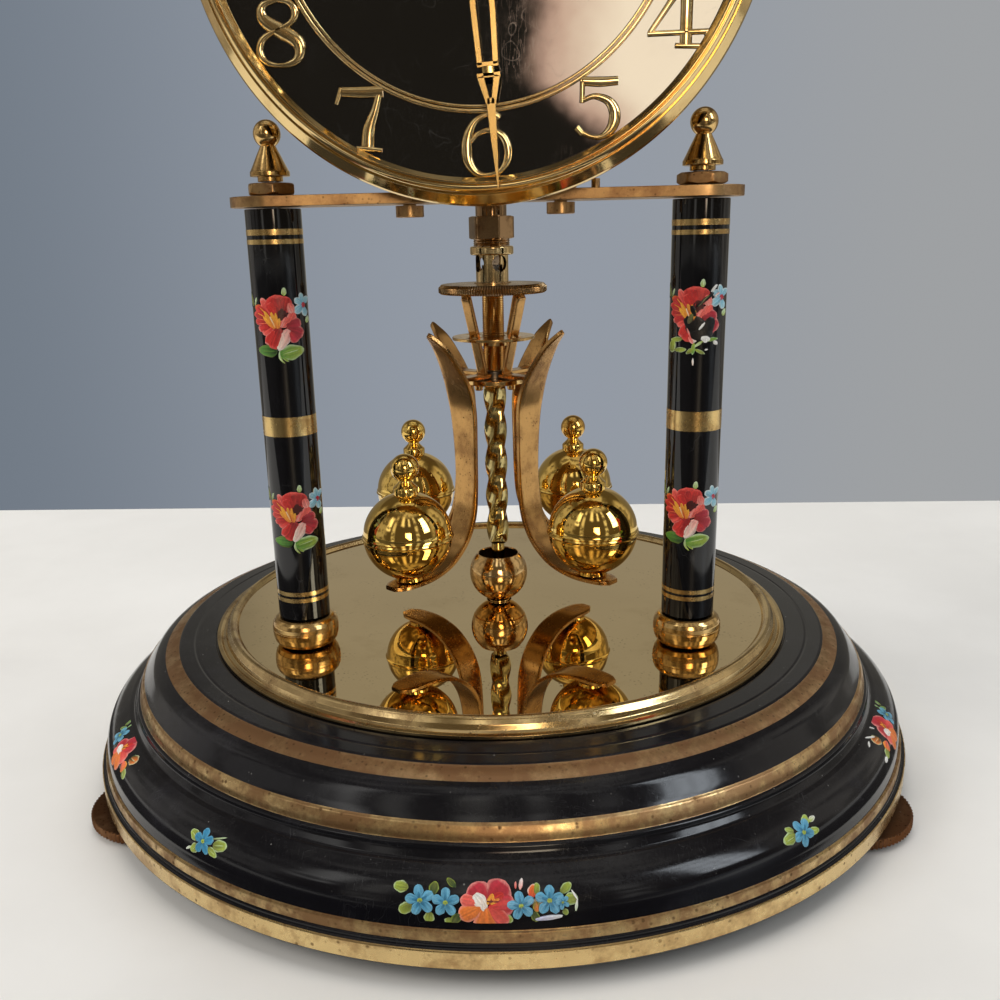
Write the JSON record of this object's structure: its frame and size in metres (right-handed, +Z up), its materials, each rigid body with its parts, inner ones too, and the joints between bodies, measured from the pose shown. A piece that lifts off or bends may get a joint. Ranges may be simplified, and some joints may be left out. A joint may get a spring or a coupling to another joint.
{
  "type": "torsion pendulum clock",
  "caption": "Mantel torsion clock: black enamelled stepped round base with gilt bands, painted pillars, brass plate, rotating ball pendulum and a round black dial in a brass bezel.",
  "frame": {"origin": "centre of the bounding box on the surface the levelling screws stand on", "axes": "+Z up along the pendulum's axis, -Y towards the dial's viewer, +X to the viewer's right"},
  "size_m": [0.19, 0.1934, 0.2258],
  "materials": {
    "black_enamel": "gloss black enamel with gilt bands and painted flowers",
    "mirror_brass": "mirror polished, dusty",
    "polished_brass": "polished and lacquered",
    "aged_brass": "dull, browned",
    "satin_brass": "satin",
    "steel": "satin"
  },
  "bodies": {
    "frame": {"base_shell": "black_enamel", "base_plate": "mirror_brass", "locking_cup": "polished_brass", "pillar_left": "black_enamel", "pillar_right": "black_enamel", "pillar_foot_left": "polished_brass", "pillar_foot_right": "polished_brass", "tie_rod_left": "steel", "tie_rod_right": "steel", "platform": "satin_brass", "hex_nut_left": "satin_brass", "hex_nut_right": "satin_brass", "finial_left": "polished_brass", "finial_right": "polished_brass", "platform_screw_left": "satin_brass", "platform_screw_right": "satin_brass", "front_plate": "satin_brass", "back_plate": "satin_brass", "movement_pillar_left": "satin_brass", "movement_pillar_right": "satin_brass", "movement_pillar_top": "satin_brass", "suspension_bracket": "satin_brass", "suspension_top_block": "satin_brass", "suspension_strip": "steel", "suspension_guard": "aged_brass", "dial": "black_enamel", "bezel": "polished_brass"},
    "foot_rear": {"levelling_screw_rear": "aged_brass"},
    "foot_left": {"levelling_screw_left": "aged_brass"},
    "foot_right": {"levelling_screw_right": "aged_brass"},
    "winder": {"winding_arbor": "steel"},
    "pawl": {"click": "steel"},
    "barrel": {"mainspring_barrel": "satin_brass"},
    "second": {"second_wheel": "satin_brass"},
    "third": {"third_wheel": "satin_brass"},
    "centre": {"centre_wheel": "satin_brass"},
    "fourth": {"fourth_wheel": "satin_brass"},
    "escape": {"escape_wheel": "satin_brass"},
    "pallets": {"anchor": "steel"},
    "suspension_fork": {"fork": "satin_brass"},
    "minute": {"cannon_pinion": "steel", "minute_hand": "polished_brass", "hand_nut": "polished_brass"},
    "motion": {"minute_wheel": "satin_brass"},
    "hour": {"hour_wheel": "satin_brass", "hour_hand": "polished_brass"},
    "pendulum": {"pendulum_tube": "polished_brass", "suspension_bottom_block": "satin_brass", "pendulum_hub": "satin_brass", "twisted_rod": "satin_brass"},
    "regulator": {"regulating_disc": "aged_brass"},
    "ring": {"guide_ring": "satin_brass"},
    "weight_1": {"arm_1": "satin_brass", "ball_1": "polished_brass"},
    "weight_2": {"arm_2": "satin_brass", "ball_2": "polished_brass"},
    "weight_3": {"arm_3": "satin_brass", "ball_3": "polished_brass"},
    "weight_4": {"arm_4": "satin_brass", "ball_4": "polished_brass"}
  },
  "joints": [
    {"name": "rear_foot_turn", "type": "hinge", "parent": "frame", "child": "foot_rear", "pos_m": [0, 0.08225, 0], "axis": [0, 0, 1], "range_deg": [-360, 360]},
    {"name": "left_foot_turn", "type": "hinge", "parent": "frame", "child": "foot_left", "pos_m": [-0.07275, -0.04375, 0], "axis": [0, 0, 1], "range_deg": [-360, 360]},
    {"name": "right_foot_turn", "type": "hinge", "parent": "frame", "child": "foot_right", "pos_m": [0.07275, -0.04375, 0], "axis": [0, 0, 1], "range_deg": [-360, 360]},
    {"name": "winding_turn", "type": "hinge", "parent": "frame", "child": "winder", "pos_m": [0, -0.02725, 0.1472], "axis": [0, 1, 0], "continuous": true},
    {"name": "click_lift", "type": "hinge", "parent": "frame", "child": "pawl", "pos_m": [-0.00813, -0.01725, 0.13907], "axis": [0, 1, 0], "range_deg": [0, 12], "stiffness_Nm_per_rad": 0.002, "springref_deg": -11.46},
    {"name": "minute_turn", "type": "hinge", "parent": "frame", "child": "minute", "pos_m": [0, -0.02725, 0.1752], "axis": [0, 1, 0], "continuous": true},
    {"name": "hour_turn", "type": "hinge", "parent": "frame", "child": "hour", "pos_m": [0, -0.02725, 0.1752], "axis": [0, 1, 0], "continuous": true},
    {"name": "motion_turn", "type": "hinge", "parent": "frame", "child": "motion", "pos_m": [0, -0.02725, 0.1652], "axis": [0, 1, 0], "continuous": true},
    {"name": "centre_turn", "type": "hinge", "parent": "frame", "child": "centre", "pos_m": [0, -0.02725, 0.1752], "axis": [0, 1, 0], "continuous": true},
    {"name": "third_turn", "type": "hinge", "parent": "frame", "child": "third", "pos_m": [0.01028, -0.02725, 0.16645], "axis": [0, 1, 0], "continuous": true},
    {"name": "second_turn", "type": "hinge", "parent": "frame", "child": "second", "pos_m": [0.01861, -0.02725, 0.15397], "axis": [0, 1, 0], "continuous": true},
    {"name": "barrel_turn", "type": "hinge", "parent": "frame", "child": "barrel", "pos_m": [0, -0.02725, 0.1472], "axis": [0, 1, 0], "continuous": true},
    {"name": "fourth_turn", "type": "hinge", "parent": "frame", "child": "fourth", "pos_m": [-0.00782, -0.02725, 0.1862], "axis": [0, 1, 0], "continuous": true},
    {"name": "escape_turn", "type": "hinge", "parent": "frame", "child": "escape", "pos_m": [0, -0.02725, 0.19721], "axis": [0, 1, 0], "continuous": true},
    {"name": "pendulum_turn", "type": "hinge", "parent": "frame", "child": "pendulum", "pos_m": [0, -0.00175, 0.1166], "axis": [0, 0, 1], "range_deg": [-270, 270], "stiffness_Nm_per_rad": 0.00002},
    {"name": "pallet_rock", "type": "hinge", "parent": "frame", "child": "pallets", "pos_m": [0, -0.02725, 0.20801], "axis": [0, 1, 0], "range_deg": [-3.1, 3.1]},
    {"name": "fork_swing", "type": "hinge", "parent": "frame", "child": "suspension_fork", "pos_m": [0, -0.00175, 0.2178], "axis": [0, 0, 1], "range_deg": [-3.6, 3.6]},
    {"name": "regulator_turn", "type": "hinge", "parent": "pendulum", "child": "regulator", "pos_m": [0, -0.00175, 0.1079], "axis": [0, 0, 1], "range_deg": [-540, 540]},
    {"name": "ring_slide", "type": "slide", "parent": "pendulum", "child": "ring", "axis": [0, 0, 1], "range_m": [-0.00107, 0.00107]},
    {"name": "arm_1_rock", "type": "hinge", "parent": "pendulum", "child": "weight_1", "pos_m": [0.00467, 0.00366, 0.08795], "axis": [-0.757, 0.6534, 0], "range_deg": [-2, 2]},
    {"name": "arm_2_rock", "type": "hinge", "parent": "pendulum", "child": "weight_2", "pos_m": [-0.00541, 0.00292, 0.08795], "axis": [-0.6534, -0.757, 0], "range_deg": [-2, 2]},
    {"name": "arm_3_rock", "type": "hinge", "parent": "pendulum", "child": "weight_3", "pos_m": [-0.00467, -0.00716, 0.08795], "axis": [0.757, -0.6534, 0], "range_deg": [-2, 2]},
    {"name": "arm_4_rock", "type": "hinge", "parent": "pendulum", "child": "weight_4", "pos_m": [0.00541, -0.00642, 0.08795], "axis": [0.6534, 0.757, 0], "range_deg": [-2, 2]}
  ],
  "couplings": [
    {"joint": "hour_turn", "follows": "minute_turn", "ratio": 0.083333},
    {"joint": "motion_turn", "follows": "minute_turn", "ratio": -0.33333},
    {"joint": "centre_turn", "follows": "minute_turn", "ratio": 1},
    {"joint": "third_turn", "follows": "minute_turn", "ratio": -0.125},
    {"joint": "second_turn", "follows": "minute_turn", "ratio": 0.013889},
    {"joint": "barrel_turn", "follows": "minute_turn", "ratio": -0.0013889},
    {"joint": "fourth_turn", "follows": "minute_turn", "ratio": -4},
    {"joint": "escape_turn", "follows": "minute_turn", "ratio": 16},
    {"joint": "pallet_rock", "follows": "pendulum_turn", "ratio": 0.011111},
    {"joint": "fork_swing", "follows": "pendulum_turn", "ratio": 0.012801},
    {"joint": "ring_slide", "follows": "regulator_turn", "m_per_rad": -0.00011141},
    {"joint": "arm_1_rock", "follows": "regulator_turn", "ratio": 0.0035477},
    {"joint": "arm_2_rock", "follows": "regulator_turn", "ratio": 0.0035477},
    {"joint": "arm_3_rock", "follows": "regulator_turn", "ratio": 0.0035477},
    {"joint": "arm_4_rock", "follows": "regulator_turn", "ratio": 0.0035477}
  ]
}
